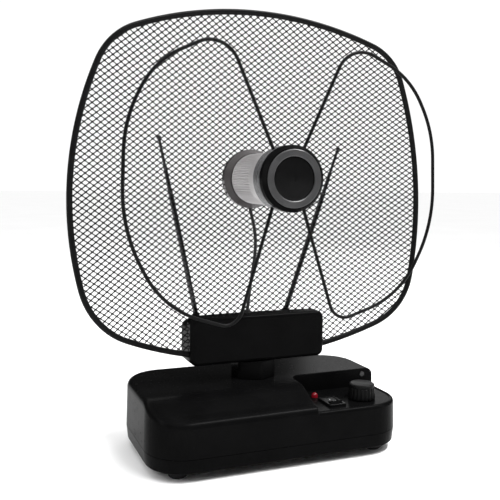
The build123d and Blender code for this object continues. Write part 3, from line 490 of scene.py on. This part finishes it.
def make_reflector_mesh():
    """Two families of crossing strands, wider at each knuckle and thinner between them."""
    half = Vector((CELL_W / 2, CELL_H / 2))
    turn = Matrix.Rotation(CELL_TILT, 2)
    inset = RIM_W - MESH_TUCK
    verts, faces = [], []
    for family in (1, -1):
        step = turn @ Vector((half.x, family * half.y))
        across = turn @ Vector((half.x, -family * half.y))
        wide, thin = STRAND_WIDTHS[family]
        for line in range(-MESH_REACH, MESH_REACH + 1):
            run = []
            for k in range(-2 * MESH_REACH, 2 * MESH_REACH + 1):
                place = across * line + step * (k / 2)
                if abs(place.x) > MESH_LIMIT or abs(place.y) > MESH_LIMIT:
                    continue
                if inside(place.x, place.y, inset):
                    run.append((place, thin if k % 2 else wide))
                elif run:
                    add_strand(verts, faces, run)
                    run = []
            if run:
                add_strand(verts, faces, run)
    piece = mesh_piece("reflector_strands", verts, faces, "mesh_paint", "head", sharp_deg=80)
    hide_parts("reflector_mesh")


def add_strand(verts, faces, run):
    """A four-sided tube through the run's points, closed at both ends."""
    if len(run) < 2:
        return
    points = [on_dish(p.x, p.y) for p, _ in run]
    first = len(verts)
    for i, (point, (_, width)) in enumerate(zip(points, run)):
        ahead = points[min(i + 1, len(points) - 1)] - points[max(i - 1, 0)]
        normal = (DISH_CENTRE - point).normalized()
        side = ahead.cross(normal).normalized()
        verts.extend((
            point + side * width, point + normal * STRAND_DEPTH,
            point - side * width, point - normal * STRAND_DEPTH,
        ))
    for i in range(len(points) - 1):
        a, b = first + 4 * i, first + 4 * i + 4
        for j in range(4):
            faces.append((a + j, a + (j + 1) % 4, b + (j + 1) % 4, b + j))
    last = first + 4 * (len(points) - 1)
    faces.append((first, first + 3, first + 2, first + 1))
    faces.append((last, last + 1, last + 2, last + 3))


make_reflector_mesh()


# ---- reflector rim, rounded ----------------------------------------------------------------------------
RIM_STEPS = 900
RIM_RING = 16
RIM_ROUNDING = 0.8
RIM_END_LIFT = 0.5 * MM


def make_rim():
    """A moulded band of oval section that follows the outline, open where the housing holds it."""
    centres = []
    for step in range(RIM_STEPS + 1):
        angle = -math.pi / 2 + 2 * math.pi * step / RIM_STEPS
        direction = Vector((math.cos(angle), math.sin(angle)))
        place = direction * (edge_distance(direction.x, direction.y) - RIM_W / 2)
        if place.y > MESH_FLOOR + RIM_END_LIFT:
            centres.append(on_dish(place.x, place.y))
    verts, faces = [], []
    for i, centre in enumerate(centres):
        ahead = centres[min(i + 1, len(centres) - 1)] - centres[max(i - 1, 0)]
        normal = (DISH_CENTRE - centre).normalized()
        side = ahead.cross(normal).normalized()
        for k in range(RIM_RING):
            turn = 2 * math.pi * k / RIM_RING
            c, s = math.cos(turn), math.sin(turn)
            wide = math.copysign(abs(c) ** RIM_ROUNDING, c) * RIM_W * 0.5
            deep = math.copysign(abs(s) ** RIM_ROUNDING, s) * RIM_T * 0.5
            verts.append(centre + side * wide + normal * deep)
    for i in range(len(centres) - 1):
        for k in range(RIM_RING):
            following = (k + 1) % RIM_RING
            near, far = i * RIM_RING, (i + 1) * RIM_RING
            faces.append((near + k, near + following, far + following, far + k))
    last = (len(centres) - 1) * RIM_RING
    faces.append(tuple(range(RIM_RING)))
    faces.append(tuple(last + k for k in reversed(range(RIM_RING))))
    piece = mesh_piece("rim_band", verts, faces, "frame_paint", "head", sharp_deg=60)
    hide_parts("reflector_rim")


make_rim()

# ---- ribbed hub barrel ---------------------------------------------------------------------------------
RIBS = 60
RIB_DEPTH = 1.0 * MM
RIB_SHARPNESS = 1.5
BARREL_R = 20.0 * MM
BARREL_BORE_R = 17.6 * MM
FLARE_Y = -27.0 * MM
FLARE_RISE = 3.0 * MM


def make_barrel():
    """Silver sleeve: fine ribs along its straight part, a smooth flare to the band in front."""
    front, back = barrel_lo.y, barrel_hi.y
    outer = [
        (back, BARREL_BORE_R), (back, BARREL_R - 0.6 * MM), (back - 0.5 * MM, BARREL_R - 0.1 * MM),
        (back - 2.2 * MM, BARREL_R), (-8 * MM, BARREL_R), (FLARE_Y + 3 * MM, BARREL_R),
        (FLARE_Y, BARREL_R - 0.1 * MM),
        (-32 * MM, BARREL_R + 0.35 * MM), (-37 * MM, BARREL_R + 1.25 * MM), (-41 * MM, BARREL_R + 2.5 * MM),
        (-43 * MM, BARREL_R + FLARE_RISE), (front + 0.5 * MM, BARREL_R + FLARE_RISE),
        (front, BARREL_R + 2.5 * MM),
        (front, BARREL_BORE_R),
    ]

    def ribs(angle, along, r):
        if r < BARREL_R - 0.3 * MM or along < FLARE_Y + 1 * MM or along > back - 1.5 * MM:
            return 0.0
        return -RIB_DEPTH * (0.5 - 0.5 * math.cos(angle * RIBS)) ** RIB_SHARPNESS

    piece = lathe(
        "ribbed_barrel", outer, (0, 0, HUB_Z), (0, 1, 0), "silver_barrel", "head",
        steps=RIBS * 8, wave=ribs,
    )
    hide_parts("hub_barrel")


make_barrel()

# ---- level knob ----------------------------------------------------------------------------------------
KNOB_FLUTES = 20
FLUTE_DEPTH = 0.75 * MM
FLUTE_SHARPNESS = 1.6
KNOB_BASE_R = 10.7 * MM
KNOB_TOP_R = 10.0 * MM
KNOB_HOLLOW_R = 7.4 * MM
KNOB_BORE_R = 3.05 * MM
KNOB_BORE_TOP = 8.6 * MM
KNOB_HUB_FOOT = 5.2 * MM
AXIS_R = 0.05 * MM


def make_knob():
    centre = (knob_lo + knob_hi) / 2
    height = knob_hi.z - knob_lo.z
    profile = [
        (0, KNOB_HOLLOW_R), (0, KNOB_BASE_R - 0.4 * MM), (0.5 * MM, KNOB_BASE_R),
        (height * 0.3, KNOB_BASE_R - 0.2 * MM), (height - 3.6 * MM, KNOB_TOP_R + 0.1 * MM),
        (height - 3.0 * MM, KNOB_TOP_R - 0.5 * MM), (height - 2.6 * MM, KNOB_TOP_R - 0.5 * MM),
        (height - 2.3 * MM, KNOB_TOP_R), (height - 0.8 * MM, KNOB_TOP_R - 0.1 * MM),
        (height - 0.15 * MM, KNOB_TOP_R - 0.9 * MM), (height, KNOB_TOP_R - 1.6 * MM),
        (height - 0.25 * MM, KNOB_TOP_R - 2.2 * MM), (height - 0.25 * MM, AXIS_R),
        (KNOB_BORE_TOP, AXIS_R), (KNOB_BORE_TOP, KNOB_BORE_R), (KNOB_HUB_FOOT, KNOB_BORE_R),
        (KNOB_HUB_FOOT, KNOB_HOLLOW_R),
    ]

    def flutes(angle, along, r):
        if r < KNOB_TOP_R - 0.2 * MM or along > height - 3.2 * MM:
            return 0.0
        return -FLUTE_DEPTH * (0.5 - 0.5 * math.cos(angle * KNOB_FLUTES)) ** FLUTE_SHARPNESS

    piece = lathe(
        "level_knob", profile, (centre.x, centre.y, knob_lo.z), (0, 0, 1), "knob_plastic", "gain_control",
        steps=KNOB_FLUTES * 14, wave=flutes,
    )
    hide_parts("gain_knob")


make_knob()

# ---- telescopic rods -----------------------------------------------------------------------------------
ROD_TILT = {"left": math.radians(-12.4), "right": math.radians(19.3)}
ROD_PIVOT = (38.4, 37.0, 92.5)
CRIMP_DEPTH = 0.22
# Each section in millimetres: name, start, end, outer radius, inner radius, body.
ROD_SECTIONS = (
    ("base", 4.25, 114.0, 2.1, 1.7, "rod_{}"),
    ("middle", 24.0, 134.0, 1.65, 1.25, "rod_{}_middle"),
)


def make_rods():
    """Each drawn tube ends in a rolled lip, with a shallow crimp just below it."""
    for side, sign in (("left", -1), ("right", 1)):
        pivot = Vector((sign * ROD_PIVOT[0], ROD_PIVOT[1], ROD_PIVOT[2])) * MM
        axis = Vector((math.sin(ROD_TILT[side]), 0, math.cos(ROD_TILT[side])))
        for section, start, end, outer, inner, body in ROD_SECTIONS:
            profile = [
                (start, inner), (start, outer), (end - 6.0, outer), (end - 5.2, outer - CRIMP_DEPTH),
                (end - 4.0, outer - CRIMP_DEPTH), (end - 3.2, outer), (end - 0.8, outer),
                (end - 0.25, outer - 0.15), (end, outer - 0.32), (end, inner),
            ]
            piece = lathe(
                f"drawn_{section}_{side}", [(a * MM, r * MM) for a, r in profile], pivot, axis,
                "rod_chrome", body.format(side), steps=28,
            )
            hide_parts(f"rod_{section}_{side}")


make_rods()


# ---- printed marks on the rocker -----------------------------------------------------------------------
# Sizes in millimetres, from the paddle's middle.
MARK_PROUD = 0.06
MARK_SUNK = 0.1
BAR_HALF_W = 0.28
BAR_START = 2.6
BAR_STATIONS = (0.0, 0.8, 1.6, 2.4)
RING_Y = -3.9
RING_INNER = (0.75, 1.15)
RING_OUTER = (1.25, 1.65)
RING_STEPS = 24


def make_marks():
    """A bar and a ring printed on the two halves of the paddle."""
    paddle = nodes["power_rocker"]
    tree = BVHTree.FromPolygons(
        [paddle.matrix_world @ v.co for v in paddle.data.vertices],
        [p.vertices[:] for p in paddle.data.polygons],
    )
    low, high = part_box("power_rocker")
    centre = (low + high) / 2

    def on_paddle(x, y):
        above = Vector((centre.x + x, centre.y + y, high.z + 0.01))
        return tree.ray_cast(above, Vector((0, 0, -1)))[:2]

    verts, faces = [], []

    def slab(outline):
        """A strip a little proud of the paddle; outline is two rails of (x, y) points."""
        first = len(verts)
        for a, b in outline:
            for x, y in (a, b):
                spot, normal = on_paddle(x * MM, y * MM)
                verts.append(spot + normal * MARK_PROUD * MM)
                verts.append(spot - normal * MARK_SUNK * MM)
        count = len(outline)
        for i in range(count - 1):
            q, r = first + 4 * i, first + 4 * (i + 1)
            faces.append((q, q + 2, r + 2, r))
            faces.append((q + 1, r + 1, r + 3, q + 3))
            faces.append((q, r, r + 1, q + 1))
            faces.append((q + 2, q + 3, r + 3, r + 2))

    slab([((-BAR_HALF_W, BAR_START + t), (BAR_HALF_W, BAR_START + t)) for t in BAR_STATIONS])
    ring = []
    for step in range(RING_STEPS + 1):
        turn = 2 * math.pi * step / RING_STEPS
        c, s = math.cos(turn), math.sin(turn)
        ring.append((
            (RING_INNER[0] * c, RING_Y + RING_INNER[1] * s),
            (RING_OUTER[0] * c, RING_Y + RING_OUTER[1] * s),
        ))
    slab(ring)
    mesh_piece("rocker_marks", verts, faces, "mark_white", "power_rocker", smooth=False)


make_marks()
